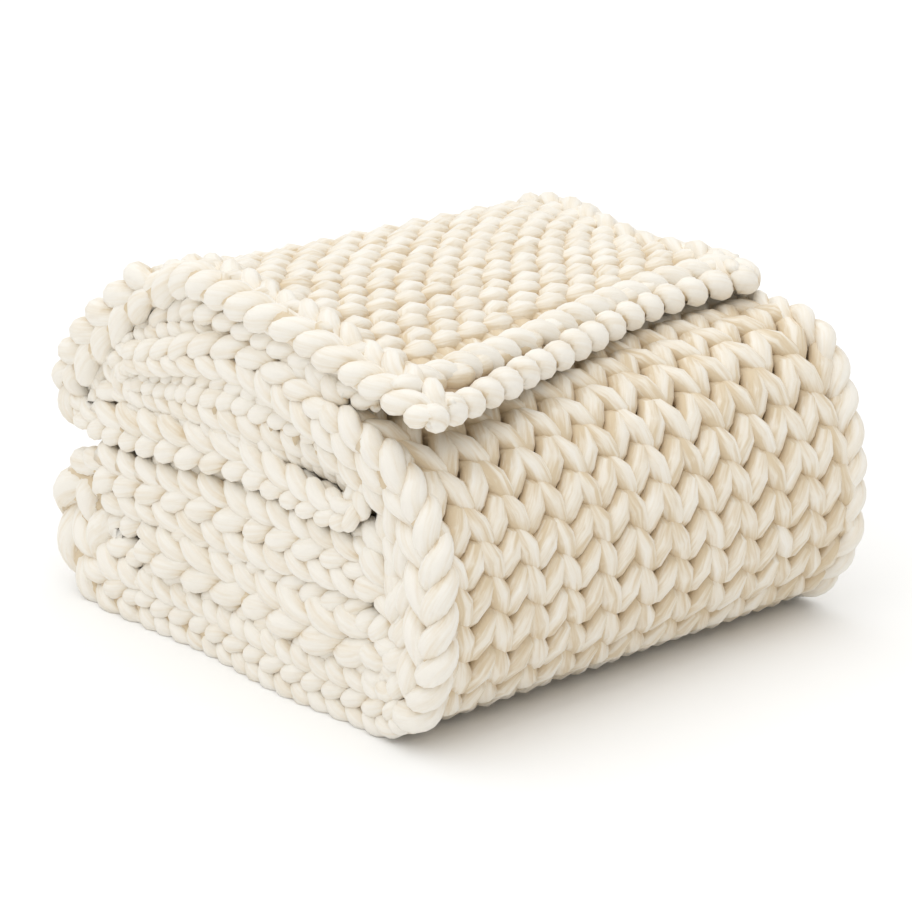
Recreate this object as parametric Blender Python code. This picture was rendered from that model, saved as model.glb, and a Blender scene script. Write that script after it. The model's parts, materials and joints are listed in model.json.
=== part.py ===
"""Chunky knit blanket, folded into a stack.

One knitted panel is folded back and forth about folds that run along X.
The stack stands on Z = 0 with its origin at the bottom centre of its box:
X runs along the folds, -Y is the tall front fold, +Y holds the two rear folds.

The panel is followed from its bound-off edge, which lies on top of the stack,
to its cast-on edge, which is tucked inside the lower fold.  The cloth is one
solid: the fold line is a smooth curve through named bends, and the two faces
of the cloth stand half its thickness to either side.  The columns of stitches
(wales) are raised as ribs that run along the cloth.
"""

import math
from typing import NamedTuple

import bmesh
import bpy
from mathutils import Vector

MM = 0.001

# ---------------------------------------------------------------- driving sizes (mm)
STACK_LENGTH = 466.0        # along the folds, selvage to selvage
WALE_COUNT = 12             # columns of stitches across the cloth
RIB_HEIGHT = 2.4            # a wale's ridge above the cloth's mean face
PURL_RIB_HEIGHT = 1.0       # the same on the bumpy back face
SELVAGE_THICKNESS = 0.85    # of the cloth's thickness, at its very side edge
EDGE_THICKNESS = 0.60       # of the cloth's thickness, at its bound-off and cast-on edges
EDGE_ROUNDING = 12.0        # length over which those two edges round off
SELVAGE_WAVE = 2.5          # unevenness of the side edges
SELVAGE_WAVE_LENGTH = 210.0
CENTRE_X = -1.3             # middle of the box, in the bends' own X and Y
CENTRE_Y = 3.6
MAX_STEP = 60.0             # longest straight step between stations
MAX_TURN = math.radians(30.0)
WALK_STEP = 2.0             # step of the walk that places the stations
NORMAL_STEP = 0.5           # half spans over which a normal is measured: along the cloth,
NORMAL_SHARE = 0.01         # and as a share across it

NODE_NAME = "knit_blanket"
WOOL_COLOUR = (0.86, 0.80, 0.70, 1.0)
WOOL_ROUGHNESS = 0.95


class Bend(NamedTuple):
    """One bend of the fold line, seen at the left and right ends of the stack (mm)."""

    name: str
    left_y: float
    left_z: float
    right_y: float
    right_z: float
    left_thickness: float
    right_thickness: float
    left_inset: float
    right_inset: float


BENDS = (
    #    name                  left_y left_z  right_y right_z  thick: left right  insets: left right
    Bend("bound_off_edge", -234.0, 257.0, -76.0, 274.0, 26.0, 27.0, 10.0, 16.0),
    Bend("flap_front", -150.0, 277.0, -58.0, 275.0, 28.0, 29.0, 4.0, 12.0),
    Bend("flap_middle", -50.0, 292.0, 5.0, 282.0, 29.0, 31.0, 2.0, 22.0),
    Bend("crest", 55.0, 290.0, 70.0, 291.0, 31.0, 32.0, 0.0, 14.0),
    Bend("rear_brow", 120.0, 284.0, 127.0, 280.0, 34.0, 34.0, 0.0, 10.0),
    Bend("rear_slope", 174.0, 251.0, 181.0, 244.0, 36.0, 36.0, 0.0, 6.0),
    Bend("rear_belly", 214.0, 214.0, 216.0, 212.0, 36.0, 35.0, 0.0, 4.0),
    Bend("rear_heel", 235.0, 188.0, 235.0, 188.0, 28.0, 26.0, 0.0, 4.0),
    Bend("rear_tuck", 217.0, 164.0, 217.0, 164.0, 29.0, 29.0, 0.0, 4.0),
    Bend("upper_floor_rear", 160.0, 167.0, 160.0, 166.0, 33.0, 31.0, 0.0, 4.0),
    Bend("upper_floor_middle", 10.0, 180.0, 10.0, 175.0, 35.0, 28.0, 0.0, 4.0),
    Bend("upper_floor_front", -128.0, 174.0, -126.0, 172.5, 27.0, 26.0, 0.0, 6.0),
    Bend("inner_front_turn", -147.0, 190.0, -145.0, 188.5, 20.0, 20.0, 6.0, 8.0),
    Bend("inner_front", -128.0, 206.5, -126.0, 204.5, 22.0, 21.0, 10.0, 10.0),
    Bend("inner_middle", 0.0, 219.0, 0.0, 207.5, 32.0, 26.0, 4.0, 10.0),
    Bend("inner_rear", 141.0, 203.0, 132.0, 199.0, 21.0, 20.0, 2.0, 10.0),
    Bend("inner_rear_turn", 159.0, 216.0, 149.0, 211.0, 18.0, 17.0, 2.0, 8.0),
    Bend("upper_roof_rear", 141.0, 230.5, 132.0, 224.5, 21.0, 20.0, 0.0, 8.0),
    Bend("upper_roof_middle", 0.0, 254.0, 0.0, 239.0, 32.0, 29.0, 0.0, 8.0),
    Bend("upper_roof_front", -115.0, 240.0, -115.0, 237.0, 32.0, 30.0, 0.0, 6.0),
    Bend("front_shoulder", -188.0, 212.0, -180.0, 221.0, 35.0, 35.0, 2.0, 2.0),
    Bend("front_brow", -221.0, 168.0, -213.0, 172.0, 36.0, 36.0, 2.0, 0.0),
    Bend("front_belly", -233.0, 122.0, -227.0, 110.0, 36.0, 36.0, 0.0, 0.0),
    Bend("front_shin", -224.0, 70.0, -219.0, 62.0, 38.0, 38.0, 0.0, 2.0),
    Bend("front_toe", -190.0, 31.0, -188.0, 30.0, 42.0, 42.0, 2.0, 6.0),
    Bend("lower_floor_front", -140.0, 22.5, -140.0, 22.5, 47.0, 47.0, 4.0, 8.0),
    Bend("lower_floor_rear", 140.0, 22.5, 140.0, 22.5, 47.0, 47.0, 2.0, 6.0),
    Bend("low_heel", 201.0, 29.0, 200.0, 29.0, 56.0, 56.0, 0.0, 4.0),
    Bend("low_belly", 220.0, 71.0, 219.0, 71.0, 78.0, 78.0, 0.0, 4.0),
    Bend("low_brow", 197.0, 108.0, 196.0, 108.0, 58.0, 58.0, 0.0, 4.0),
    Bend("lower_roof_rear", 135.0, 119.0, 135.0, 119.0, 50.0, 50.0, 2.0, 4.0),
    Bend("lower_roof_middle", 0.0, 126.0, 0.0, 125.0, 57.0, 56.0, 2.0, 6.0),
    Bend("lower_roof_front", -148.0, 131.0, -146.0, 130.0, 46.0, 46.0, 4.0, 6.0),
    Bend("tuck_turn", -189.0, 103.0, -187.0, 102.0, 32.0, 32.0, 6.0, 8.0),
    Bend("tuck_front", -150.0, 74.0, -148.0, 74.0, 44.0, 44.0, 4.0, 10.0),
    Bend("tuck_middle", 0.0, 71.0, 0.0, 71.0, 40.0, 40.0, 2.0, 10.0),
    Bend("cast_on_edge", 116.0, 74.0, 110.0, 73.0, 38.0, 38.0, 2.0, 12.0),
)


class Curl(NamedTuple):
    """How far the two side edges curl away from the body of the cloth at a bend (mm)."""

    bend: str
    left_y: float
    left_z: float
    right_y: float
    right_z: float


CURLS = (
    #    bend              left_y left_z right_y right_z
    Curl("bound_off_edge", 0.0, 12.0, -62.0, 0.0),
    Curl("flap_front", 0.0, 9.0, -28.0, 2.0),
    Curl("flap_middle", 0.0, 18.0, -6.0, -8.0),
    Curl("crest", 0.0, 30.0, 0.0, -14.0),
    Curl("rear_brow", 0.0, 10.0, 0.0, -9.0),
    Curl("upper_roof_middle", 0.0, 8.0, 0.0, 0.0),
    Curl("upper_roof_front", 0.0, 2.0, 0.0, 6.0),
    Curl("front_shoulder", 0.0, 0.0, -4.0, 12.0),
)
NO_CURL = Curl("flat", 0.0, 0.0, 0.0, 0.0)
CURL_SHARPNESS = 6


def end_points() -> tuple[list[Vector], list[Vector]]:
    """Return the bends' points at the left and right ends of the stack, in mm."""
    half = STACK_LENGTH / 2.0
    left = [Vector((-half - CENTRE_X + b.left_inset, b.left_y - CENTRE_Y, b.left_z)) for b in BENDS]
    right = [Vector((half - CENTRE_X - b.right_inset, b.right_y - CENTRE_Y, b.right_z)) for b in BENDS]
    return left, right


def end_curls() -> tuple[list[Vector], list[Vector]]:
    """Return the side edges' curl at each bend, at the left and right ends, in mm."""
    by_bend = {curl.bend: curl for curl in CURLS}
    curls = [by_bend.get(bend.name, NO_CURL) for bend in BENDS]
    left = [Vector((0.0, curl.left_y, curl.left_z)) for curl in curls]
    right = [Vector((0.0, curl.right_y, curl.right_z)) for curl in curls]
    return left, right


LEFT_POINTS, RIGHT_POINTS = end_points()
LEFT_CURLS, RIGHT_CURLS = end_curls()


def cloth_lengths() -> list[float]:
    """Return each bend's distance along the cloth, averaged over the two ends."""
    lengths = [0.0]
    for index in range(1, len(BENDS)):
        left = (LEFT_POINTS[index] - LEFT_POINTS[index - 1]).length
        right = (RIGHT_POINTS[index] - RIGHT_POINTS[index - 1]).length
        lengths.append(lengths[-1] + (left + right) / 2.0)
    return lengths


LENGTHS = cloth_lengths()
CLOTH_LENGTH = LENGTHS[-1]


def span_of(distance: float) -> tuple[int, float]:
    """Return the stretch between two bends that holds a distance, and how far along it is."""
    index = 0
    while index < len(LENGTHS) - 2 and distance > LENGTHS[index + 1]:
        index += 1
    return index, (distance - LENGTHS[index]) / (LENGTHS[index + 1] - LENGTHS[index])


def heading(points: list[Vector], index: int) -> Vector:
    """Return the direction in which the fold line passes a bend."""
    before = points[max(index - 1, 0)]
    after = points[min(index + 1, len(points) - 1)]
    return (after - before).normalized()


def end_curve(points: list[Vector], distance: float) -> Vector:
    """Return the fold line's point at one end: a chain of near-circular arcs and straights."""
    index, t = span_of(distance)
    start, end = points[index], points[index + 1]
    leave, arrive = heading(points, index), heading(points, index + 1)
    reach = (end - start).length / math.cos(leave.angle(arrive) / 4.0) ** 2
    t2, t3 = t * t, t * t * t
    return (start * (2.0 * t3 - 3.0 * t2 + 1.0) + leave * (reach * (t3 - 2.0 * t2 + t))
            + end * (3.0 * t2 - 2.0 * t3) + arrive * (reach * (t3 - t2)))


def curl_at(curls: list[Vector], distance: float) -> Vector:
    """Return a side edge's curl at a distance along the cloth, eased between bends."""
    index, t = span_of(distance)
    return curls[index].lerp(curls[index + 1], t * t * (3.0 - 2.0 * t))


def thickness_at(across: float, distance: float) -> float:
    """Return the cloth's thickness at a place on it, rounded off at its bound-off and cast-on edges."""
    index, t = span_of(distance)
    ease = t * t * (3.0 - 2.0 * t)
    before, after = BENDS[index], BENDS[index + 1]
    left = before.left_thickness * (1.0 - ease) + after.left_thickness * ease
    right = before.right_thickness * (1.0 - ease) + after.right_thickness * ease
    thickness = left * (1.0 - across) + right * across
    from_edge = min(distance, CLOTH_LENGTH - distance)
    if from_edge < EDGE_ROUNDING:
        thickness *= EDGE_THICKNESS + (1.0 - EDGE_THICKNESS) * from_edge / EDGE_ROUNDING
    return thickness


def cloth_point(across: float, distance: float) -> Vector:
    """Return the mid-cloth point at a share across the stack and a distance along the cloth."""
    left = end_curve(LEFT_POINTS, distance)
    right = end_curve(RIGHT_POINTS, distance)
    wave = SELVAGE_WAVE * math.sin(2.0 * math.pi * distance / SELVAGE_WAVE_LENGTH)
    point = left.lerp(right, across)
    point.x += wave
    point += curl_at(LEFT_CURLS, distance) * (1.0 - across) ** CURL_SHARPNESS
    point += curl_at(RIGHT_CURLS, distance) * across ** CURL_SHARPNESS
    return point


def cloth_normal(across: float, distance: float) -> Vector:
    """Return the normal of the cloth's bumpy (purl) face."""
    along = (cloth_point(across, min(distance + NORMAL_STEP, CLOTH_LENGTH))
             - cloth_point(across, max(distance - NORMAL_STEP, 0.0)))
    side = (cloth_point(min(across + NORMAL_SHARE, 1.0), distance)
            - cloth_point(max(across - NORMAL_SHARE, 0.0), distance))
    return side.cross(along).normalized()


def stations() -> list[float]:
    """Return the distances along the cloth at which its section is built."""
    found = [0.0, EDGE_ROUNDING]
    reach = CLOTH_LENGTH - EDGE_ROUNDING
    distance = mark = EDGE_ROUNDING
    last_normal, turned = cloth_normal(0.5, distance), 0.0
    while distance < reach:
        distance += WALK_STEP
        normal = cloth_normal(0.5, distance)
        turned += normal.angle(last_normal)
        last_normal = normal
        if turned >= MAX_TURN or distance - mark >= MAX_STEP:
            found.append(distance)
            mark, turned = distance, 0.0
    if reach - found[-1] < MAX_STEP / 4.0:
        found.pop()
    return found + [reach, CLOTH_LENGTH]


def columns() -> list[tuple[float, bool]]:
    """Return each column's share across the cloth, and whether it is a wale's ridge."""
    count = 2 * WALE_COUNT
    return [(index / count, index % 2 == 1) for index in range(count + 1)]


def face_rows(distance: float, mesh: bmesh.types.BMesh) -> tuple[list, list]:
    """Add one station's points, and return those of the purl face and of the smooth face."""
    purl_face, smooth_face = [], []
    for across, is_ridge in columns():
        point = cloth_point(across, distance)
        normal = cloth_normal(across, distance)
        rise = 0.5 if is_ridge else -0.5
        half = thickness_at(across, distance) / 2.0
        reach = half * (SELVAGE_THICKNESS if across in (0.0, 1.0) else 1.0)
        purl_face.append(mesh.verts.new((point + normal * (reach + rise * PURL_RIB_HEIGHT)) * MM))
        smooth_face.append(mesh.verts.new((point - normal * (reach + rise * RIB_HEIGHT)) * MM))
    return purl_face, smooth_face


def build_blanket() -> bpy.types.Object:
    """Build the folded cloth as one closed body with both faces and its four edges."""
    mesh = bmesh.new()
    rows = [face_rows(distance, mesh) for distance in stations()]
    last = len(rows[0][0]) - 1
    for (purl, smooth), (next_purl, next_smooth) in zip(rows, rows[1:]):
        for i in range(last):
            mesh.faces.new((purl[i], purl[i + 1], next_purl[i + 1], next_purl[i]))
            mesh.faces.new((smooth[i], next_smooth[i], next_smooth[i + 1], smooth[i + 1]))
        mesh.faces.new((purl[0], next_purl[0], next_smooth[0], smooth[0]))
        mesh.faces.new((purl[last], smooth[last], next_smooth[last], next_purl[last]))
    for purl, smooth in (rows[0], rows[-1]):
        for i in range(last):
            mesh.faces.new((purl[i], smooth[i], smooth[i + 1], purl[i + 1]))
    for vertex in mesh.verts:
        vertex.co.z = max(vertex.co.z, 0.0)     # the bottom layer lies flat on the ground
    bmesh.ops.recalc_face_normals(mesh, faces=mesh.faces[:])
    data = bpy.data.meshes.new(NODE_NAME)
    mesh.to_mesh(data)
    mesh.free()
    data.shade_smooth()
    blanket = bpy.data.objects.new(NODE_NAME, data)
    bpy.context.collection.objects.link(blanket)
    return blanket


def wool_material() -> bpy.types.Material:
    """Return the plain ivory wool material."""
    material = bpy.data.materials.new("ivory_wool")
    material.use_nodes = True
    shader = material.node_tree.nodes["Principled BSDF"]
    shader.inputs["Base Color"].default_value = WOOL_COLOUR
    shader.inputs["Roughness"].default_value = WOOL_ROUGHNESS
    shader.inputs["Metallic"].default_value = 0.0
    return material


def main() -> None:
    """Clear the scene and build the folded blanket."""
    for old in list(bpy.data.objects):
        bpy.data.objects.remove(old, do_unlink=True)
    blanket = build_blanket()
    blanket.data.materials.append(wool_material())


main()
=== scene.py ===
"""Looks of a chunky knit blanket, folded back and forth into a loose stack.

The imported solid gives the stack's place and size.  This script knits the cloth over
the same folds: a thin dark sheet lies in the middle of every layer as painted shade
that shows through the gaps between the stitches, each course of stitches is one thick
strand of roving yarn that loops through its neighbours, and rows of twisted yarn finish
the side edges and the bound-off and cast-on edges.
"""

import json
import logging
import math
from dataclasses import dataclass, field
from enum import Enum
from typing import NamedTuple

import bpy
import numpy as np
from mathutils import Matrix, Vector

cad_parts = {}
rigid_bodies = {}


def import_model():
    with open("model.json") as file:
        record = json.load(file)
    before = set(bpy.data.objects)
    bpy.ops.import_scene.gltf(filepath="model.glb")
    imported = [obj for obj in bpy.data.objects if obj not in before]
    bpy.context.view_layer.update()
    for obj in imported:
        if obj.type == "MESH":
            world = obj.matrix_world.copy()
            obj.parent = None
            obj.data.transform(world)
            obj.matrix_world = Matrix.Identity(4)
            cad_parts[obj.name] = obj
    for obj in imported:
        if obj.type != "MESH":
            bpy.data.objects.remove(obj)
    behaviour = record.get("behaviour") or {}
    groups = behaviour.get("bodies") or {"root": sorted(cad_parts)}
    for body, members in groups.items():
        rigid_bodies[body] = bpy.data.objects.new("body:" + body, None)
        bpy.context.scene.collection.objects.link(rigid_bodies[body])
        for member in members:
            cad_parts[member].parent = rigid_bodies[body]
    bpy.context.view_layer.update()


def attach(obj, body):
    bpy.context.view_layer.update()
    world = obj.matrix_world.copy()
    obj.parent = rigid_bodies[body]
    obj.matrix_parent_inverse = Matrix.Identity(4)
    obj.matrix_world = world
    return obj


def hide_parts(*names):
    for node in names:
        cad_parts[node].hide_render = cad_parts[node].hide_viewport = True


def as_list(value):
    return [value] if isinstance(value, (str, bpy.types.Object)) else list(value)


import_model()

MM = 0.001
NODE_NAME = "knit_blanket"
TAU = 2.0 * math.pi
FLOOR_GAP = 0.2         # between the yarn and the floor (mm)
X_AXIS = np.array((1.0, 0.0, 0.0))

log = logging.getLogger("knit_blanket")


# ---------------------------------------------------------------- the folds (mm)
class Bend(NamedTuple):
    """One bend of the fold line, seen at the left and right ends of the stack (mm)."""

    name: str
    left_y: float
    left_z: float
    right_y: float
    right_z: float
    left_thickness: float
    right_thickness: float
    left_inset: float
    right_inset: float


BENDS = (
    #    name                  left_y left_z  right_y right_z  thick: left right  insets: left right
    Bend("bound_off_edge", -234.0, 257.0, -76.0, 274.0, 26.0, 27.0, 10.0, 16.0),
    Bend("flap_front", -150.0, 277.0, -58.0, 275.0, 28.0, 29.0, 4.0, 12.0),
    Bend("flap_middle", -50.0, 292.0, 5.0, 282.0, 29.0, 31.0, 2.0, 22.0),
    Bend("crest", 55.0, 290.0, 70.0, 291.0, 31.0, 32.0, 0.0, 14.0),
    Bend("rear_brow", 120.0, 284.0, 127.0, 280.0, 34.0, 34.0, 0.0, 10.0),
    Bend("rear_slope", 174.0, 251.0, 181.0, 244.0, 36.0, 36.0, 0.0, 6.0),
    Bend("rear_belly", 214.0, 214.0, 216.0, 212.0, 36.0, 35.0, 0.0, 4.0),
    Bend("rear_heel", 235.0, 188.0, 235.0, 188.0, 28.0, 26.0, 0.0, 4.0),
    Bend("rear_tuck", 217.0, 164.0, 217.0, 164.0, 29.0, 29.0, 0.0, 4.0),
    Bend("upper_floor_rear", 160.0, 167.0, 160.0, 166.0, 33.0, 31.0, 0.0, 4.0),
    Bend("upper_floor_middle", 10.0, 180.0, 10.0, 175.0, 35.0, 28.0, 0.0, 4.0),
    Bend("upper_floor_front", -128.0, 174.0, -126.0, 172.5, 27.0, 26.0, 0.0, 6.0),
    Bend("inner_front_turn", -147.0, 190.0, -145.0, 188.5, 20.0, 20.0, 6.0, 8.0),
    Bend("inner_front", -128.0, 206.5, -126.0, 204.5, 22.0, 21.0, 10.0, 10.0),
    Bend("inner_middle", 0.0, 219.0, 0.0, 207.5, 32.0, 26.0, 4.0, 10.0),
    Bend("inner_rear", 141.0, 203.0, 132.0, 199.0, 21.0, 20.0, 2.0, 10.0),
    Bend("inner_rear_turn", 159.0, 216.0, 149.0, 211.0, 18.0, 17.0, 2.0, 8.0),
    Bend("upper_roof_rear", 141.0, 230.5, 132.0, 224.5, 21.0, 20.0, 0.0, 8.0),
    Bend("upper_roof_middle", 0.0, 254.0, 0.0, 239.0, 32.0, 29.0, 0.0, 8.0),
    Bend("upper_roof_front", -115.0, 240.0, -115.0, 237.0, 32.0, 30.0, 0.0, 6.0),
    Bend("front_shoulder", -188.0, 212.0, -180.0, 221.0, 35.0, 35.0, 2.0, 2.0),
    Bend("front_brow", -221.0, 168.0, -213.0, 172.0, 36.0, 36.0, 2.0, 0.0),
    Bend("front_belly", -233.0, 122.0, -227.0, 110.0, 36.0, 36.0, 0.0, 0.0),
    Bend("front_shin", -224.0, 70.0, -219.0, 62.0, 38.0, 38.0, 0.0, 2.0),
    Bend("front_toe", -190.0, 31.0, -188.0, 30.0, 42.0, 42.0, 2.0, 6.0),
    Bend("lower_floor_front", -140.0, 22.5, -140.0, 22.5, 47.0, 47.0, 4.0, 8.0),
    Bend("lower_floor_rear", 140.0, 22.5, 140.0, 22.5, 47.0, 47.0, 2.0, 6.0),
    Bend("low_heel", 201.0, 29.0, 200.0, 29.0, 56.0, 56.0, 0.0, 4.0),
    Bend("low_belly", 220.0, 71.0, 219.0, 71.0, 78.0, 78.0, 0.0, 4.0),
    Bend("low_brow", 197.0, 108.0, 196.0, 108.0, 58.0, 58.0, 0.0, 4.0),
    Bend("lower_roof_rear", 135.0, 119.0, 135.0, 119.0, 50.0, 50.0, 2.0, 4.0),
    Bend("lower_roof_middle", 0.0, 126.0, 0.0, 125.0, 57.0, 56.0, 2.0, 6.0),
    Bend("lower_roof_front", -148.0, 131.0, -146.0, 130.0, 46.0, 46.0, 4.0, 6.0),
    Bend("tuck_turn", -189.0, 103.0, -187.0, 102.0, 32.0, 32.0, 6.0, 8.0),
    Bend("tuck_front", -150.0, 74.0, -148.0, 74.0, 44.0, 44.0, 4.0, 10.0),
    Bend("tuck_middle", 0.0, 71.0, 0.0, 71.0, 40.0, 40.0, 2.0, 10.0),
    Bend("cast_on_edge", 116.0, 74.0, 110.0, 73.0, 38.0, 38.0, 2.0, 12.0),
)


class Curl(NamedTuple):
    """How far the two side edges curl away from the body of the cloth at a bend (mm)."""

    bend: str
    left_y: float
    left_z: float
    right_y: float
    right_z: float


CURLS = (
    #    bend              left_y left_z right_y right_z
    Curl("bound_off_edge", 0.0, 12.0, -62.0, 0.0),
    Curl("flap_front", 0.0, 9.0, -28.0, 2.0),
    Curl("flap_middle", 0.0, 18.0, -6.0, -8.0),
    Curl("crest", 0.0, 30.0, 0.0, -14.0),
    Curl("rear_brow", 0.0, 10.0, 0.0, -9.0),
    Curl("upper_roof_middle", 0.0, 8.0, 0.0, 0.0),
    Curl("upper_roof_front", 0.0, 2.0, 0.0, 6.0),
    Curl("front_shoulder", 0.0, 0.0, -4.0, 12.0),
)
NO_CURL = Curl("flat", 0.0, 0.0, 0.0, 0.0)


@dataclass
class FoldedCloth:
    """The middle surface of the folded panel, and its thickness.

    A place on the cloth is a share across the stack (0 at the left selvage, 1 at the
    right) and a distance along the cloth from the bound-off edge, in mm.
    """

    stack_length: float = 466.0
    centre_x: float = -1.3
    centre_y: float = 3.6
    wave: float = 2.5
    wave_length: float = 210.0
    curl_sharpness: float = 6.0
    normal_step: float = 0.5
    normal_share: float = 0.01
    lengths: np.ndarray = field(init=False)
    ends: dict = field(init=False)

    def __post_init__(self) -> None:
        """Work out each end's points, headings and reaches from the table of bends."""
        half = self.stack_length / 2.0
        left = np.array([(bend.left_inset - half, bend.left_y, bend.left_z) for bend in BENDS])
        right = np.array([(half - bend.right_inset, bend.right_y, bend.right_z) for bend in BENDS])
        centre = np.array((self.centre_x, self.centre_y, 0.0))
        left, right = left - centre, right - centre
        steps = (np.linalg.norm(np.diff(left, axis=0), axis=1)
                 + np.linalg.norm(np.diff(right, axis=0), axis=1)) / 2.0
        self.lengths = np.concatenate(([0.0], np.cumsum(steps)))
        by_bend = {curl.bend: curl for curl in CURLS}
        curls = [by_bend.get(bend.name, NO_CURL) for bend in BENDS]
        self.ends = {
            "left": self._end(left) | {
                "curl": np.array([(0.0, curl.left_y, curl.left_z) for curl in curls]),
                "thickness": np.array([bend.left_thickness for bend in BENDS])},
            "right": self._end(right) | {
                "curl": np.array([(0.0, curl.right_y, curl.right_z) for curl in curls]),
                "thickness": np.array([bend.right_thickness for bend in BENDS])},
        }

    @staticmethod
    def _end(points: np.ndarray) -> dict:
        """Return what one end's curve needs.

        Args:
            points: The end's places of the bends (mm).

        Returns:
            The points, the unit heading at each bend, and the reach of each span's handles.
        """
        before = np.vstack((points[:1], points[:-1]))
        after = np.vstack((points[1:], points[-1:]))
        heading = after - before
        heading /= np.linalg.norm(heading, axis=1, keepdims=True)
        chord = np.linalg.norm(np.diff(points, axis=0), axis=1)
        turn = np.arccos(np.clip(np.sum(heading[:-1] * heading[1:], axis=1), -1.0, 1.0))
        return {"points": points, "heading": heading, "reach": chord / np.cos(turn / 4.0) ** 2}

    @property
    def length(self) -> float:
        """Return the cloth's whole length."""
        return float(self.lengths[-1])

    def bend_distance(self, name: str) -> float:
        """Return the distance along the cloth of a named bend."""
        return float(self.lengths[[bend.name for bend in BENDS].index(name)])

    def _span(self, distance: np.ndarray) -> tuple[np.ndarray, np.ndarray]:
        """Return the span that holds each distance, and the share along it."""
        index = np.clip(np.searchsorted(self.lengths, distance, side="right") - 1,
                        0, len(self.lengths) - 2)
        share = (distance - self.lengths[index]) / (self.lengths[index + 1] - self.lengths[index])
        return index, share

    def _end_curve(self, name: str, distance: np.ndarray) -> np.ndarray:
        """Return the fold line at one end, run on straight past the cloth's own edges.

        Args:
            name: "left" or "right".
            distance: Distances along the cloth (mm).

        Returns:
            A point for each distance (mm).
        """
        end = self.ends[name]
        inside = np.clip(distance, 0.0, self.length)
        index, t = self._span(inside)
        t = t[:, None]
        t2, t3 = t * t, t * t * t
        start, stop = end["points"][index], end["points"][index + 1]
        leave, arrive = end["heading"][index], end["heading"][index + 1]
        reach = end["reach"][index][:, None]
        curve = (start * (2.0 * t3 - 3.0 * t2 + 1.0) + leave * (reach * (t3 - 2.0 * t2 + t))
                 + stop * (3.0 * t2 - 2.0 * t3) + arrive * (reach * (t3 - t2)))
        beyond = (distance - inside)[:, None]
        return curve + beyond * np.where(beyond < 0.0, end["heading"][0], end["heading"][-1])

    def _eased(self, name: str, column: str, distance: np.ndarray) -> np.ndarray:
        """Return a column of one end's table, eased between bends.

        Args:
            name: "left" or "right".
            column: "curl" or "thickness".
            distance: Distances along the cloth (mm).

        Returns:
            The column's value at each distance (mm).
        """
        index, t = self._span(np.clip(distance, 0.0, self.length))
        table = self.ends[name][column]
        ease = t * t * (3.0 - 2.0 * t)
        ease = ease[:, None] if table.ndim == 2 else ease
        return table[index] * (1.0 - ease) + table[index + 1] * ease

    def thickness(self, across: np.ndarray, distance: np.ndarray) -> np.ndarray:
        """Return the cloth's thickness (mm)."""
        share = np.clip(across, 0.0, 1.0)
        return (self._eased("left", "thickness", distance) * (1.0 - share)
                + self._eased("right", "thickness", distance) * share)

    def point(self, across: np.ndarray, distance: np.ndarray) -> np.ndarray:
        """Return the middle points of the cloth.

        Args:
            across: Shares across the stack, from the left selvage.
            distance: Distances along the cloth from the bound-off edge (mm).

        Returns:
            A point for each pair (mm).
        """
        share = across[:, None]
        place = (self._end_curve("left", distance) * (1.0 - share)
                 + self._end_curve("right", distance) * share)
        place[:, 0] += self.wave * np.sin(TAU * distance / self.wave_length)
        inner = np.clip(share, 0.0, 1.0)
        place += self._eased("left", "curl", distance) * (1.0 - inner) ** self.curl_sharpness
        place += self._eased("right", "curl", distance) * inner ** self.curl_sharpness
        return place

    def normal(self, across: np.ndarray, distance: np.ndarray) -> np.ndarray:
        """Return the unit normals of the bumpy (purl) face.

        Args:
            across: Shares across the stack, from the left selvage.
            distance: Distances along the cloth from the bound-off edge (mm).

        Returns:
            A normal for each pair.
        """
        along = (self.point(across, distance + self.normal_step)
                 - self.point(across, distance - self.normal_step))
        side = (self.point(across + self.normal_share, distance)
                - self.point(across - self.normal_share, distance))
        return unit(np.cross(side, along))


def unit(vectors: np.ndarray) -> np.ndarray:
    """Return vectors of length one with the same directions."""
    return vectors / np.linalg.norm(vectors, axis=1, keepdims=True)


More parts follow.
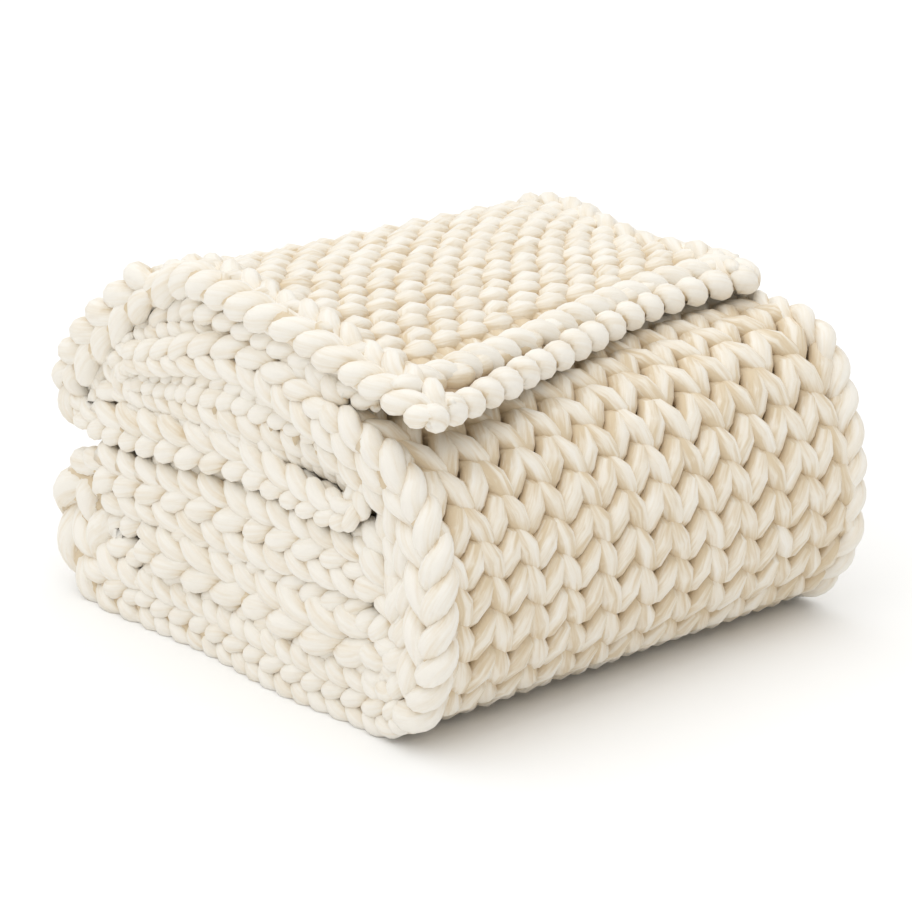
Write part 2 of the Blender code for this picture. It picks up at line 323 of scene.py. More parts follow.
# ---------------------------------------------------------------- the yarn
class YarnMesh:
    """A mesh of swept strands, each with the straightened yarn's own coordinates."""

    ATTRIBUTE = "straight_yarn"
    # The exposure masks painted shade: the deeper in the creases, the more the colour turns tan.
    EXPOSURE = "exposure"           # 1.0 on the outside of the knit, 0.0 deep in its creases
    HIDDEN_SHARE = 0.2              # of the way out from its heart, which is all hidden
    FIBRE_TWIST = 1.0 / 260.0       # turns of the fibres for each mm of yarn
    STRAND_SHIFT = 1700.0           # between two strands' places along the ball of yarn (mm)

    def __init__(self, sides: int) -> None:
        """Start an empty mesh.

        Args:
            sides: Number of faces around each strand.
        """
        self.sides = sides
        self.points: list[np.ndarray] = []
        self.straight: list[np.ndarray] = []
        self.exposure: list[np.ndarray] = []
        self.faces: list[np.ndarray] = []
        self.caps: list[tuple[int, ...]] = []
        self.count = 0

    def strand(self, path: np.ndarray, up: np.ndarray, wide: np.ndarray, deep: np.ndarray,
               heart: np.ndarray, reach: np.ndarray, outward: np.ndarray | None = None) -> None:
        """Sweep an oval section along a path and close its two ends.

        Args:
            path: Centre points (mm).
            up: Direction of the section's short axis at each point.
            wide: Half width of the section at each point (mm).
            deep: Half depth of the section at each point (mm).
            heart: The middle of the cloth or row at each point (mm).
            reach: Distance from the heart to the outside at each point (mm).
            outward: Unit direction from the heart to the outside at each point, or None for
                a row that is seen all round.
        """
        tangent = unit(np.gradient(path, axis=0))
        side = unit(np.cross(tangent, up))
        rise = np.cross(side, tangent)
        angle = TAU * np.arange(self.sides) / self.sides
        ring = (side[:, None, :] * (wide[:, None, None] * np.cos(angle)[None, :, None])
                + rise[:, None, :] * (deep[:, None, None] * np.sin(angle)[None, :, None]))
        step = np.linalg.norm(np.diff(path, axis=0), axis=1)
        along = len(self.points) * self.STRAND_SHIFT + np.concatenate(([0.0], np.cumsum(step)))
        turned = angle[None, :] + TAU * self.FIBRE_TWIST * along[:, None]
        radius = (wide + deep)[:, None] / 2.0
        straight = np.stack((np.broadcast_to(along[:, None], turned.shape),
                             radius * np.cos(turned), radius * np.sin(turned)), axis=-1)
        index = self.count + np.arange(len(path) * self.sides).reshape(len(path), self.sides)
        follow = np.roll(index, -1, axis=1)
        quads = np.stack((index[:-1], follow[:-1], follow[1:], index[1:]), axis=-1)
        skin = path[:, None, :] + ring
        # How far out of the cloth or row each point lies: the mask for the painted shade in the
        # creases.
        offset = skin - heart[:, None, :]
        height = (np.linalg.norm(offset, axis=2) if outward is None
                  else np.abs(np.sum(offset * outward[:, None, :], axis=2)))
        exposed = (height / reach[:, None] - self.HIDDEN_SHARE) / (1.0 - self.HIDDEN_SHARE)
        self.exposure.append(np.clip(exposed, 0.0, 1.0).ravel())
        self.points.append(skin.reshape(-1, 3))
        self.straight.append(straight.reshape(-1, 3))
        self.faces.append(quads.reshape(-1, 4))
        self.caps.append(tuple(int(i) for i in index[0][::-1]))
        self.caps.append(tuple(int(i) for i in index[-1]))
        self.count += index.size

    def build(self, name: str, material: bpy.types.Material) -> bpy.types.Object:
        """Return the strands as one object that lies on the floor and not below it.

        Args:
            name: Name of the new object.
            material: Its finish.

        Returns:
            The new object, at the origin.
        """
        points = np.concatenate(self.points) * MM
        points[:, 2] = np.maximum(points[:, 2], FLOOR_GAP * MM)
        faces = [tuple(face) for face in np.concatenate(self.faces).tolist()] + self.caps
        mesh = bpy.data.meshes.new(name)
        mesh.from_pydata(points.tolist(), [], faces)
        layer = mesh.attributes.new(self.ATTRIBUTE, "FLOAT_VECTOR", "POINT")
        layer.data.foreach_set("vector", (np.concatenate(self.straight) * MM).ravel())
        exposure = mesh.attributes.new(self.EXPOSURE, "FLOAT", "POINT")
        exposure.data.foreach_set("value", np.concatenate(self.exposure))
        return finished(name, mesh, material)


def finished(name: str, mesh: bpy.types.Mesh, material: bpy.types.Material) -> bpy.types.Object:
    """Return a smooth-shaded object with a mesh and one finish.

    Args:
        name: Name of the new object.
        mesh: Its mesh, in metres.
        material: Its finish.

    Returns:
        The new object, at the origin.
    """
    mesh.shade_smooth()
    mesh.materials.append(material)
    built = bpy.data.objects.new(name, mesh)
    bpy.context.collection.objects.link(built)
    return built


@dataclass(frozen=True)
class Panel:
    """A run of courses that is built as one piece."""

    name: str
    last_bend: str
    course_pitch: float     # along the middle of the cloth (mm)
    wale_pitch: float       # width of one column of stitches (mm)
    loop_share: float       # of the course pitch, from a loop's middle to its head
    loop_swell: float       # of the wale pitch, by which a loop is wider than its neck
    yarn_radius: float
    relief: float           # of the loops, as a share of what the thickness allows
    squareness: float       # of the loops: 0.1 is round, 2.0 nearly square
    has_painted_shade: bool        # painted shade: a tanner copy of the wool here, where the light reaches less


PANELS = (
    #         name               last_bend          course wale  share swell yarn relief square shaded
    Panel("flap_knit", "rear_brow", 30.5, 35.0, 0.72, 0.26, 10.3, 1.2, 1.5, False),
    Panel("upper_fold_knit", "upper_roof_front", 27.0, 37.5, 0.82, 0.28, 9.8, 1.0, 0.4, False),
    Panel("front_wall_knit", "front_toe", 28.0, 38.3, 1.02, 0.32, 9.3, 1.05, 0.3, True),
    Panel("base_knit", "lower_floor_rear", 28.0, 38.3, 1.0, 0.32, 9.3, 1.0, 0.3, True),
    Panel("lower_rear_knit", "low_brow", 18.5, 38.3, 1.35, 0.32, 9.6, 1.0, 0.3, True),
    Panel("lower_fold_knit", "cast_on_edge", 28.0, 38.0, 0.9, 0.30, 9.4, 1.0, 0.3, False),
)


class Drift(NamedTuple):
    """How far the columns of stitches have wandered along the folds at a bend (mm)."""

    bend: str
    shift: float


DRIFTS = (
    Drift("bound_off_edge", 0.0),
    Drift("crest", 0.0),
    Drift("upper_roof_middle", -40.0),
    Drift("upper_roof_front", -32.0),
    Drift("front_shoulder", -14.0),
    Drift("front_brow", 1.0),
    Drift("front_belly", 14.0),
    Drift("front_shin", 24.0),
    Drift("front_toe", 27.0),
    Drift("cast_on_edge", 0.0),
)


class Ripple(NamedTuple):
    """A gentle wave in the place of the stitches, as uneven hand knitting leaves it (mm)."""

    height: float
    length_across: float
    length_along: float
    phase: float = 0.0

    def at(self, x: np.ndarray, distance: np.ndarray) -> np.ndarray:
        """Return the wave's height at places on the cloth."""
        return self.height * np.sin(x / self.length_across + distance / self.length_along
                                    + self.phase)


RIPPLES_ACROSS = (Ripple(1.5, 67.0, 41.0, 0.7), Ripple(1.1, 29.0, -23.0))
RIPPLES_ALONG = (Ripple(1.7, 37.0, 97.0, 1.9), Ripple(1.3, 19.0, 31.0))


@dataclass
class KnitFabric:
    """Plain knitting in very thick yarn: smooth Vs on one face, bumps on the other (mm)."""

    cloth: FoldedCloth
    wale_count: int = 12
    spare_wales: int = 2            # beyond each side edge, before the course is cut to length
    edge_margin: float = 9.0
    first_course: float = 50.0
    last_course_gap: float = 34.0
    yarn_flatness: float = 0.93
    least_depth: float = 4.0
    flat_top_depth: float = 9.0     # deeper loops than this flatten where they reach a face
    leg_plump: float = 0.17
    smooth_face_plump: float = 0.07
    unevenness: float = 0.06
    swell_unevenness: float = 0.12
    steps_per_stitch: int = 16
    sides: int = 12
    seed: int = 7

    @property
    def drift_knots(self) -> tuple[list[float], list[float]]:
        """Return the distances and the shifts of the columns' drift."""
        return ([self.cloth.bend_distance(drift.bend) for drift in DRIFTS],
                [drift.shift for drift in DRIFTS])

    def warp(self, x: np.ndarray, distance: np.ndarray) -> tuple[np.ndarray, np.ndarray]:
        """Return how far the stitches have drifted across and along the cloth (mm)."""
        return (sum(ripple.at(x, distance) for ripple in RIPPLES_ACROSS),
                sum(ripple.at(x, distance) for ripple in RIPPLES_ALONG))

    def course(self, mesh: YarnMesh, middle: float, panel: Panel, rng: np.random.Generator) -> None:
        """Knit one course of stitches from selvage to selvage.

        Args:
            mesh: The mesh that takes the strand.
            middle: Distance along the cloth of the course's middle.
            panel: The panel that the course belongs to.
            rng: Source of the small unevenness.
        """
        wales = self.wale_count + 2 * self.spare_wales
        t = np.linspace(-math.pi, (2 * wales - 1) * math.pi, wales * self.steps_per_stitch + 1)
        wale = (t + math.pi) / TAU - wales / 2.0
        column = self.cloth.stack_length / 2.0 + panel.wale_pitch * wale
        column += np.interp(middle, *self.drift_knots)
        first, last = self.edge_margin, self.cloth.stack_length - self.edge_margin
        inside = (column > first) & (column < last)
        t, column = t[inside], column[inside]
        uneven = self.uneven(t, rng)
        swell = panel.loop_swell * panel.wale_pitch * (1.0 + self.swell_unevenness * uneven[0])
        x = column + swell * np.sin(2.0 * t)
        half_height = panel.loop_share * panel.course_pitch
        square = np.tanh(panel.squareness * np.cos(t)) / math.tanh(panel.squareness)
        distance = middle - half_height * square * (1.0 + self.unevenness * uneven[1])
        plump = (1.0 + self.leg_plump * np.cos(4.0 * t) - self.smooth_face_plump * np.cos(2.0 * t)
                 + self.unevenness * uneven[2])
        drift_x, drift_y = self.warp(x, distance)
        x, distance = np.clip(x + drift_x, first, last), distance + drift_y
        share = x / self.cloth.stack_length
        depth = self.cloth.thickness(share, distance) / 2.0 - panel.yarn_radius
        depth = np.maximum(depth, self.least_depth) * panel.relief
        flatten = depth / self.flat_top_depth
        rise = depth * np.tanh(flatten * np.cos(2.0 * t)) / np.tanh(flatten)
        normal = self.cloth.normal(share, distance)
        heart = self.cloth.point(share, distance)
        wide = panel.yarn_radius * plump
        mesh.strand(heart + normal * rise[:, None], normal, wide, wide * self.yarn_flatness,
                    heart, depth + panel.yarn_radius, normal)

    def uneven(self, t: np.ndarray, rng: np.random.Generator) -> np.ndarray:
        """Return three smooth random waves, from -1 to 1, along a course."""
        knots = np.arange(t[0], t[-1] + math.pi, math.pi / 2.0)
        return np.array([np.interp(t, knots, rng.uniform(-1.0, 1.0, len(knots))) for _ in range(3)])

    def build(self, plain: bpy.types.Material,
              shade_painted: bpy.types.Material) -> list[bpy.types.Object]:
        """Knit every panel, and return the pieces in order.

        Args:
            plain: The finish of most of the cloth.
            shade_painted: A tanner copy of the finish, as painted shade on the panels that the
                light reaches less.

        Returns:
            The panels, at the origin.
        """
        rng = np.random.default_rng(self.seed)
        middle = self.first_course
        built = []
        for panel in PANELS:
            mesh = YarnMesh(self.sides)
            limit = min(self.cloth.bend_distance(panel.last_bend),
                        self.cloth.length - self.last_course_gap)
            while middle <= limit:
                self.course(mesh, middle, panel, rng)
                middle += panel.course_pitch
            built.append(mesh.build(panel.name, shade_painted if panel.has_painted_shade else plain))
        return built


# ---------------------------------------------------------------- the edges
STEPS_PER_TURN = 14
LEAST_STEPS = 6
UNEVEN_SIZE = 0.07      # as a share
UNEVEN_RISE = 1.2       # mm
UNEVEN_TURN = 0.35      # radians
END_SIZE = 0.55         # of a row's strands where they start and stop, as a share
END_GROWTH = 0.9        # of that share for each oval from the end


class Twist(Enum):
    """How the yarn of an edge row is twisted (mm)."""

    #    strands lead rise out  yarn plump
    ROPE = (2, 56.0, 5.2, 4.8, 8.0, 0.22)
    LONG = (2, 62.0, 7.0, 6.6, 10.2, 0.22)
    KNOB = (2, 46.0, 4.8, 4.2, 7.6, 0.24)
    OVAL = (2, 68.0, 5.6, 4.6, 8.6, 0.26)
    BEAD = (1, 27.0, 3.4, 3.4, 9.9, 0.24)

    def __init__(self, strands: int, lead: float, rise: float, out: float, yarn: float,
                 plump: float) -> None:
        """Take the twist's sizes.

        Args:
            strands: Number of strands.
            lead: Length of one whole turn.
            rise: Radius of the turns across the thickness of the cloth.
            out: Radius of the turns in the plane of the cloth.
            yarn: Radius of a strand.
            plump: How much thicker a strand is on the row's outside, as a share.
        """
        self.strands = strands
        self.lead = lead
        self.rise = rise
        self.out = out
        self.yarn = yarn
        self.plump = plump

    @property
    def reach(self) -> float:
        """Return how far the row's outside stands from its middle line."""
        return self.out + self.yarn

    def lay(self, mesh: YarnMesh, middle: np.ndarray, rise: np.ndarray, out: np.ndarray,
            swell: np.ndarray, hand: float, rng: np.random.Generator) -> None:
        """Twist the row's strands about a middle line.

        Args:
            mesh: The mesh that takes the strands.
            middle: Closely spaced points of the middle line (mm).
            rise: Unit directions across the thickness of the cloth.
            out: Unit directions in the plane of the cloth, out of the row's visible side.
            swell: Size of the row at each point, as a share of the named sizes.
            hand: 1.0 or -1.0, the hand of the twist.
            rng: Source of the small unevenness.
        """
        step = np.linalg.norm(np.diff(middle, axis=0), axis=1)
        phase = np.concatenate(([0.0], np.cumsum(TAU * step / (self.lead * swell[1:]))))
        count = max(round(phase[-1] / TAU * STEPS_PER_TURN), LEAST_STEPS)
        at = np.linspace(0.0, phase[-1], count + 1)
        columns = [np.interp(at, phase, values) for values in (*middle.T, *rise.T, *out.T, swell)]
        line, up, across = (np.stack(columns[i:i + 3], axis=1) for i in (0, 3, 6))
        knots = np.arange(0.0, phase[-1] + TAU, TAU / self.strands)
        uneven = [np.interp(at, knots, rng.uniform(-1.0, 1.0, len(knots))) for _ in range(3)]
        size = columns[9] * (1.0 + UNEVEN_SIZE * uneven[0])
        line = line + up * (UNEVEN_RISE * uneven[1])[:, None]
        turns_from_end = np.minimum(at, at[-1] - at) / TAU * self.strands
        taper = np.clip(END_SIZE + END_GROWTH * turns_from_end, END_SIZE, 1.0)
        for strand in range(self.strands):
            angle = hand * (at + UNEVEN_TURN * uneven[2]) + TAU * strand / self.strands
            path = (line + up * (self.rise * size * taper * np.cos(angle))[:, None]
                    + across * (self.out * size * taper * np.sin(angle))[:, None])
            radius = self.yarn * size * taper * (1.0 + self.plump * np.sin(angle))
            mesh.strand(path, up, radius, radius, line, self.reach * size * taper)


class SelvageRow(NamedTuple):
    """A row of twisted yarn along a stretch of the side edges."""

    first_bend: str
    last_bend: str
    twist: Twist
    abreast: int        # rows that share the thickness of the cloth here
    place: float        # across the thickness: -1.0 the smooth face, 1.0 the bumpy face
    lift: float = 0.0   # further out of that face (mm)
    inset: float = 0.0  # further in from the side edge (mm)
    scale: float = 1.0
    run_on: float = 0.0         # past the cast-on edge (mm)
    is_turned: bool = False     # twisted the other way than its number gives


SELVAGE_ROWS = (
    # the flap: two rows side by side on its side edge
    SelvageRow("bound_off_edge", "rear_brow", Twist.LONG, 2, -0.15, scale=1.02),
    SelvageRow("bound_off_edge", "rear_brow", Twist.LONG, 2, 0.35, lift=1.0, inset=20.0,
               scale=0.96),
    SelvageRow("flap_front", "rear_tuck", Twist.ROPE, 2, -1.0, lift=-7.0, inset=12.0),
    # the upper rear fold
    SelvageRow("rear_brow", "rear_tuck", Twist.LONG, 2, 0.5),
    SelvageRow("rear_brow", "rear_tuck", Twist.OVAL, 2, -0.5),
    SelvageRow("rear_slope", "rear_tuck", Twist.OVAL, 2, -1.0, lift=-23.0, inset=7.0, scale=0.9),
    # the three upper layers and their inner turns
    SelvageRow("rear_tuck", "upper_floor_front", Twist.ROPE, 2, 0.5),
    SelvageRow("rear_tuck", "upper_floor_front", Twist.OVAL, 2, -0.5),
    SelvageRow("upper_floor_front", "inner_rear", Twist.KNOB, 2, 0.5),
    SelvageRow("upper_floor_front", "inner_rear", Twist.ROPE, 2, -0.5),
    SelvageRow("inner_front", "inner_rear_turn", Twist.ROPE, 2, 1.0, lift=4.0, inset=3.0,
               scale=0.8),
    SelvageRow("inner_front_turn", "inner_rear", Twist.KNOB, 2, -1.0, lift=-4.0, inset=4.0,
               scale=0.85),
    SelvageRow("inner_rear", "upper_roof_rear", Twist.KNOB, 2, 0.5),
    SelvageRow("inner_rear", "upper_roof_rear", Twist.ROPE, 2, -0.5),
    SelvageRow("inner_rear", "upper_roof_rear", Twist.ROPE, 2, -1.0, lift=-7.0, inset=2.0),
    SelvageRow("upper_roof_rear", "front_shoulder", Twist.ROPE, 2, 0.5),
    SelvageRow("upper_roof_rear", "upper_roof_front", Twist.OVAL, 2, -0.5),
    SelvageRow("upper_roof_rear", "upper_roof_front", Twist.KNOB, 2, -1.0, lift=-7.0, inset=9.0),
    # the front wall
    SelvageRow("upper_roof_front", "front_toe", Twist.LONG, 2, -0.5, scale=0.84, is_turned=True),
    SelvageRow("front_shoulder", "front_toe", Twist.OVAL, 2, 0.5, is_turned=True),
    SelvageRow("upper_roof_front", "front_toe", Twist.ROPE, 2, 1.0, lift=8.0, inset=4.0,
               is_turned=True),
    SelvageRow("front_shoulder", "front_shin", Twist.ROPE, 2, 1.0, lift=23.0, inset=8.0),
    SelvageRow("front_shoulder", "front_brow", Twist.ROPE, 2, 1.0, lift=37.0, inset=11.0),
    # the bottom layer
    SelvageRow("front_toe", "lower_floor_rear", Twist.KNOB, 3, -0.667),
    SelvageRow("front_toe", "lower_floor_rear", Twist.ROPE, 3, 0.0),
    SelvageRow("front_toe", "lower_floor_rear", Twist.KNOB, 3, 0.667),
    SelvageRow("front_toe", "lower_floor_rear", Twist.ROPE, 3, 1.0, lift=3.0, inset=6.0),
    # the lower rear fold
    SelvageRow("lower_floor_rear", "low_brow", Twist.OVAL, 3, -0.667),
    SelvageRow("lower_floor_rear", "low_brow", Twist.ROPE, 3, 0.0),
    SelvageRow("lower_floor_rear", "low_brow", Twist.OVAL, 3, 0.667),
    SelvageRow("lower_floor_rear", "lower_roof_rear", Twist.ROPE, 3, 1.0, lift=10.0, inset=4.0),
    # the thick lower layer, its inner turn and the tucked-in end
    SelvageRow("low_brow", "lower_roof_front", Twist.ROPE, 3, -0.667),
    SelvageRow("low_brow", "lower_roof_front", Twist.OVAL, 3, 0.0),
    SelvageRow("low_brow", "lower_roof_front", Twist.ROPE, 3, 0.667),
    SelvageRow("lower_roof_rear", "lower_roof_front", Twist.KNOB, 3, -1.0, lift=-3.0, inset=11.0),
    SelvageRow("lower_roof_front", "tuck_front", Twist.ROPE, 2, -0.5),
    SelvageRow("lower_roof_front", "tuck_front", Twist.KNOB, 2, 0.5),
    SelvageRow("lower_roof_front", "tuck_front", Twist.KNOB, 2, -1.0, lift=-8.0, inset=4.0),
    SelvageRow("tuck_front", "cast_on_edge", Twist.OVAL, 2, -0.5, run_on=34.0),
    SelvageRow("tuck_front", "cast_on_edge", Twist.ROPE, 2, 0.5, run_on=26.0),
    SelvageRow("tuck_front", "cast_on_edge", Twist.ROPE, 2, 1.0, lift=3.0, inset=5.0, scale=0.75),
)


@dataclass
class Selvage:
    """The rows of twisted yarn along one side edge of the cloth (mm)."""

    cloth: FoldedCloth
    end: str
    row_pitch: float = 17.5     # at which the rows have their named sizes
    least_swell: float = 0.72
    most_swell: float = 1.5
    proud: float = 4.0          # of the cloth's nominal side edge
    overlap: float = 7.0        # of a row with the next stretch
    edge_gap: float = 4.0       # from the bound-off and cast-on edges
    step: float = 2.0
    sides: int = 10
    seed: int = 11

    def build(self, name: str, material: bpy.types.Material) -> bpy.types.Object:
        """Lay every row.

        Args:
            name: Name of the new object.
            material: Its finish.

        Returns:
            The rows as one object, at the origin.
        """
        rng = np.random.default_rng(self.seed)
        mesh = YarnMesh(self.sides)
        for number, row in enumerate(SELVAGE_ROWS):
            self.row(mesh, row, number, rng)
        return mesh.build(name, material)

    def row(self, mesh: YarnMesh, row: SelvageRow, number: int, rng: np.random.Generator) -> None:
        """Lay one row.

        Args:
            mesh: The mesh that takes the row.
            row: Its place and twist.
            number: The row's number, which gives the hand of its twist.
            rng: Source of the small unevenness.
        """
        first = max(self.cloth.bend_distance(row.first_bend) - self.overlap, self.edge_gap)
        last = min(self.cloth.bend_distance(row.last_bend) + self.overlap,
                   self.cloth.length - self.edge_gap) + row.run_on
        distance = np.arange(first, last, self.step)
        edge = np.full(len(distance), 0.0 if self.end == "left" else 1.0)
        thickness = self.cloth.thickness(edge, distance)
        swell = row.scale * np.clip(thickness / row.abreast / self.row_pitch,
                                    self.least_swell, self.most_swell)
        inside = row.twist.reach * swell - self.proud + row.inset
        share = np.abs(edge - inside / self.cloth.stack_length)
        normal = self.cloth.normal(share, distance)
        height = row.place * thickness / 2.0 + row.lift
        middle = self.cloth.point(share, distance) + normal * height[:, None]
        out = np.broadcast_to(X_AXIS if self.end == "right" else -X_AXIS, middle.shape)
        hand = 1.0 if (number % 2 == 0) == (self.end == "left") else -1.0
        row.twist.lay(mesh, middle, normal, out, swell, -hand if row.is_turned else hand, rng)


class EdgeRow(NamedTuple):
    """A row of twisted yarn across the whole cloth, along its bound-off or cast-on edge (mm)."""

    name: str
    twist: Twist
    from_edge: float
    lift: float             # towards the bumpy face
    swell: float
    is_cast_on: bool


EDGE_ROWS = (
    #       name                twist    from_edge lift swell cast on
    EdgeRow("bound_off_beads", Twist.BEAD, 8.0, -2.0, 1.0, False),
    EdgeRow("bound_off_ridge", Twist.LONG, 31.0, 3.0, 0.84, False),
    EdgeRow("cast_on_rope", Twist.LONG, 8.0, 0.0, 0.95, True),
)


@dataclass
class EdgeRows:
    """The rows along the bound-off and cast-on edges (mm)."""

    cloth: FoldedCloth
    margin: float = 3.0
    step: float = 2.0
    heading_step: float = 1.0
    sides: int = 10
    seed: int = 23

    def build(self, row: EdgeRow, material: bpy.types.Material) -> bpy.types.Object:
        """Lay one row.

        Args:
            row: Its place and twist.
            material: Its finish.

        Returns:
            The row as an object of its own, at the origin.
        """
        x = np.arange(self.margin, self.cloth.stack_length - self.margin, self.step)
        share = x / self.cloth.stack_length
        place = self.cloth.length - row.from_edge if row.is_cast_on else row.from_edge
        distance = np.full(len(x), place)
        normal = self.cloth.normal(share, distance)
        middle = self.cloth.point(share, distance) + normal * row.lift
        along = unit(self.cloth.point(share, distance + self.heading_step)
                     - self.cloth.point(share, distance - self.heading_step))
        off_edge = along if row.is_cast_on else -along
        mesh = YarnMesh(self.sides)
        row.twist.lay(mesh, middle, unit(normal - off_edge), unit(normal + off_edge),
                      np.full(len(x), row.swell), 1.0, np.random.default_rng(self.seed))
        return mesh.build(row.name, material)


@dataclass
class GapShadeSheet:
    """A thin dark sheet in the middle of every layer: painted shade that shows through the gaps
    between the stitches (mm).
    """

    cloth: FoldedCloth
    margin: float = 16.0
    columns: int = 24
    step: float = 14.0

    def build(self, material: bpy.types.Material) -> bpy.types.Object:
        """Return the sheet of painted shade as one open surface on the folds.

        Args:
            material: Its finish.

        Returns:
            The sheet, at the origin.
        """
        edge = self.margin / self.cloth.stack_length
        across = np.linspace(edge, 1.0 - edge, self.columns + 1)
        rows = np.linspace(self.margin, self.cloth.length - self.margin,
                           round(self.cloth.length / self.step))
        shares, distances = np.meshgrid(across, rows)
        points = self.cloth.point(shares.ravel(), distances.ravel()) * MM
        points[:, 2] = np.maximum(points[:, 2], FLOOR_GAP * MM)
        index = np.arange(len(points)).reshape(shares.shape)
        quads = np.stack((index[:-1, :-1], index[:-1, 1:], index[1:, 1:], index[1:, :-1]), axis=-1)
        mesh = bpy.data.meshes.new("gap_shade_sheet")
        mesh.from_pydata(points.tolist(), [], quads.reshape(-1, 4).tolist())
        return finished("gap_shade_sheet", mesh, material)


# ---------------------------------------------------------------- finishes
class NodeGraph:
    """A small helper that adds and joins a material's nodes."""

    NOISE_ROUGHNESS = 0.6

    def __init__(self, name: str) -> None:
        """Start a material with a Principled shader."""
        self.material = bpy.data.materials.new(name)
        self.material.use_nodes = True
        self.tree = self.material.node_tree
        self.shader = self.tree.nodes["Principled BSDF"]

    def add(self, kind: str, **values: object) -> bpy.types.Node:
        """Add a node.

        Args:
            kind: Blender's name of the node's type.
            values: Its properties, or its inputs in lower case, and their values.

        Returns:
            The new node.
        """
        node = self.tree.nodes.new(kind)
        for key, value in values.items():
            if hasattr(node, key):
                setattr(node, key, value)
            else:
                node.inputs[key.replace("_", " ").title()].default_value = value
        return node

    def join(self, source: bpy.types.NodeSocket, target: bpy.types.NodeSocket) -> None:
        """Join two sockets."""
        self.tree.links.new(source, target)

    def stretched_noise(self, vector: bpy.types.NodeSocket, scale: tuple,
                        detail: float) -> bpy.types.NodeSocket:
        """Add a noise that is stretched along the yarn.

        Args:
            vector: The straightened yarn's coordinates.
            scale: The noise's scale along and across the yarn.
            detail: Its finer layers.

        Returns:
            The noise's factor.
        """
        mapping = self.add("ShaderNodeMapping", scale=scale)
        self.join(vector, mapping.inputs["Vector"])
        noise = self.add("ShaderNodeTexNoise", scale=1.0, detail=detail,
                         roughness=self.NOISE_ROUGHNESS)
        self.join(mapping.outputs["Vector"], noise.inputs["Vector"])
        return noise.outputs["Fac"]


@dataclass(frozen=True)
class RovingWool:
    """Ivory roving: soft, matt, with long fibres that run from near-white to tan, and painted shade
    that turns its creases tan.
    """

    name: str = "ivory_roving"
    pale: tuple = (0.915, 0.875, 0.80, 1.0)
    middle: tuple = (0.86, 0.79, 0.675, 1.0)
    tan: tuple = (0.72, 0.595, 0.42, 1.0)
    # Painted shade: how far the colour in the creases is pulled towards tan.
    painted_crease_shade: float = 0.46
    tan_at: float = 0.18
    middle_at: float = 0.35
    pale_at: float = 0.53
    broad_streaks: tuple = (11.0, 130.0, 130.0)
    fine_streaks: tuple = (16.0, 420.0, 420.0)
    fine_share: float = 0.28
    streak_detail: float = 2.0
    fibres: tuple = (30.0, 1300.0, 1300.0)
    fibre_detail: float = 4.0
    fibre_strength: float = 0.5
    fibre_depth: float = 0.0007
    roughness: float = 0.92
    sheen: float = 0.2
    sheen_roughness: float = 0.5
    specular: float = 0.2

    def build(self) -> bpy.types.Material:
        """Return the material."""
        graph = NodeGraph(self.name)
        straight = graph.add("ShaderNodeAttribute", attribute_name=YarnMesh.ATTRIBUTE)
        vector = straight.outputs["Vector"]
        blend = graph.add("ShaderNodeMix", data_type="FLOAT")
        blend.inputs["Factor"].default_value = self.fine_share
        for streaks, side in ((self.broad_streaks, "A"), (self.fine_streaks, "B")):
            graph.join(graph.stretched_noise(vector, streaks, self.streak_detail),
                       blend.inputs[side])
        # Painted shade: deep in the creases the tone drops, so the colour turns tan.
        exposure = graph.add("ShaderNodeAttribute", attribute_name=YarnMesh.EXPOSURE)
        hidden = graph.add("ShaderNodeMath", operation="SUBTRACT")
        hidden.inputs[0].default_value = 1.0
        graph.join(exposure.outputs["Fac"], hidden.inputs[1])
        shade = graph.add("ShaderNodeMath", operation="MULTIPLY")
        shade.inputs[1].default_value = self.painted_crease_shade
        graph.join(hidden.outputs["Value"], shade.inputs[0])
        tone = graph.add("ShaderNodeMath", operation="SUBTRACT")
        graph.join(blend.outputs["Result"], tone.inputs[0])
        graph.join(shade.outputs["Value"], tone.inputs[1])
        ramp = graph.add("ShaderNodeValToRGB")
        stops = ramp.color_ramp.elements
        stops[0].position, stops[0].color = self.tan_at, self.tan
        stops[1].position, stops[1].color = self.pale_at, self.pale
        stops.new(self.middle_at).color = self.middle
        graph.join(tone.outputs["Value"], ramp.inputs["Fac"])
        graph.join(ramp.outputs["Color"], graph.shader.inputs["Base Color"])
        bump = graph.add("ShaderNodeBump", strength=self.fibre_strength, distance=self.fibre_depth)
        graph.join(graph.stretched_noise(vector, self.fibres, self.fibre_detail),
                   bump.inputs["Height"])
        graph.join(bump.outputs["Normal"], graph.shader.inputs["Normal"])
        graph.shader.inputs["Roughness"].default_value = self.roughness
        graph.shader.inputs["Sheen Weight"].default_value = self.sheen
        graph.shader.inputs["Sheen Roughness"].default_value = self.sheen_roughness
        graph.shader.inputs["Specular IOR Level"].default_value = self.specular
        return graph.material


@dataclass(frozen=True)
class GapShadeWool:
    """Painted shade: the dark brown seen through the gaps between the stitches."""

    name: str = "gap_shade_wool"
    # Painted shade seen through the gaps between the stitches.
    colour: tuple = (0.50, 0.38, 0.25, 1.0)
    roughness: float = 0.95
    nap_scale: float = 180.0
    nap_detail: float = 3.0
    nap_strength: float = 0.5
    nap_depth: float = 0.001

    def build(self) -> bpy.types.Material:
        """Return the material."""
        graph = NodeGraph(self.name)
        place = graph.add("ShaderNodeTexCoord")
        noise = graph.add("ShaderNodeTexNoise", scale=self.nap_scale, detail=self.nap_detail)
        graph.join(place.outputs["Object"], noise.inputs["Vector"])
        bump = graph.add("ShaderNodeBump", strength=self.nap_strength, distance=self.nap_depth)
        graph.join(noise.outputs["Fac"], bump.inputs["Height"])
        graph.join(bump.outputs["Normal"], graph.shader.inputs["Normal"])
        graph.shader.inputs["Base Color"].default_value = self.colour
        graph.shader.inputs["Roughness"].default_value = self.roughness
        return graph.material


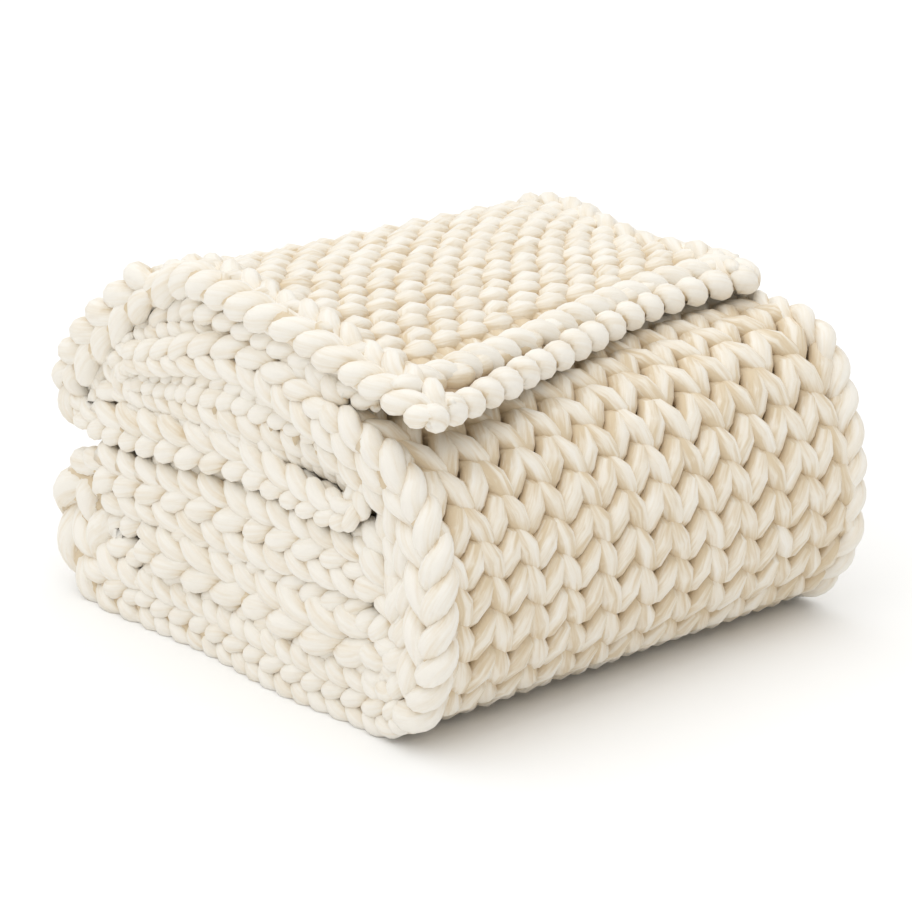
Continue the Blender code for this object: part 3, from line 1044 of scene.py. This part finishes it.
# ---------------------------------------------------------------- the studio
@dataclass
class Studio:
    """A white floor, a soft sky and sun, and the camera (m, W/m2)."""

    camera_place: tuple = (-1.7323, -2.0296, 1.0754)
    camera_forward: tuple = (0.6122, 0.7168, -0.3338)
    lens: float = 134.2
    sensor: float = 36.0
    clip_end: float = 50.0
    floor_size: float = 40.0
    floor_colour: tuple = (0.96, 0.96, 0.96, 1.0)
    floor_roughness: float = 0.9
    sky_colour: tuple = (1.0, 0.984, 0.95, 1.0)
    sky_strength: float = 0.555
    sun_from: tuple = (-0.20, 0.02, 0.97)
    sun_colour: tuple = (0.97, 0.985, 1.0)
    sun_power: float = 1.95
    sun_spread: float = math.radians(100.0)

    def build(self) -> None:
        """Set up the camera, the floor, the sky and the sun."""
        bpy.context.scene.view_settings.view_transform = "Standard"
        self.camera()
        self.floor()
        self.sky()
        self.sun()

    def camera(self) -> None:
        """Add the camera."""
        data = bpy.data.cameras.new("camera")
        data.lens = self.lens
        data.sensor_width = self.sensor
        data.clip_end = self.clip_end
        camera = bpy.data.objects.new("camera", data)
        camera.location = self.camera_place
        camera.rotation_euler = Vector(self.camera_forward).to_track_quat("-Z", "Y").to_euler()
        bpy.context.collection.objects.link(camera)
        bpy.context.scene.camera = camera

    def floor(self) -> None:
        """Add the plain white floor."""
        bpy.ops.mesh.primitive_plane_add(size=self.floor_size)
        floor = bpy.context.object
        floor.name = "studio_floor"
        graph = NodeGraph("floor_paper")
        graph.shader.inputs["Base Color"].default_value = self.floor_colour
        graph.shader.inputs["Roughness"].default_value = self.floor_roughness
        graph.shader.inputs["Specular IOR Level"].default_value = 0.0
        floor.data.materials.append(graph.material)

    def sky(self) -> None:
        """Light the scene from all round, a little warmer than the sun."""
        world = bpy.data.worlds.new("soft_warm_sky")
        bpy.context.scene.world = world
        world.use_nodes = True
        background = world.node_tree.nodes["Background"]
        background.inputs["Color"].default_value = self.sky_colour
        background.inputs["Strength"].default_value = self.sky_strength

    def sun(self) -> None:
        """Light the scene from high on the left, with soft shadows."""
        data = bpy.data.lights.new("soft_sun", "SUN")
        data.energy = self.sun_power
        data.color = self.sun_colour
        data.angle = self.sun_spread
        sun = bpy.data.objects.new("soft_sun", data)
        sun.rotation_euler = (-Vector(self.sun_from)).to_track_quat("-Z", "Y").to_euler()
        bpy.context.collection.objects.link(sun)


def deselect_all() -> None:
    """Deselect every object, so that no operator acts on the frame's nodes."""
    for item in bpy.context.scene.objects:
        item.select_set(False)


def main() -> None:
    """Build the studio and the knitted cloth."""
    logging.basicConfig(level=logging.INFO, format="%(name)s: %(message)s")
    deselect_all()
    Studio().build()
    cloth = FoldedCloth()
    wool = RovingWool().build()
    # A dark sheet in the middle of the layers: painted shade in the gaps between the stitches.
    gap_shade = GapShadeSheet(cloth).build(GapShadeWool().build())
    # A tanner copy of the wool for the front wall and the low panels: painted shade where the light
    # reaches less; its streaks are the yarn's own.
    shade_painted_wool = RovingWool("shade_painted_roving", tan_at=0.33, middle_at=0.49, pale_at=0.67).build()
    yarn = KnitFabric(cloth).build(wool, shade_painted_wool)
    yarn += [EdgeRows(cloth).build(row, wool) for row in EDGE_ROWS]
    yarn += [Selvage(cloth, end).build(f"{end}_selvage", wool) for end in ("left", "right")]
    for piece in [gap_shade, *yarn]:
        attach(piece, "root")
        log.info("%s: %d faces", piece.name, len(piece.data.polygons))
    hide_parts(NODE_NAME)
    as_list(yarn)


if __name__ == "__main__":
    main()
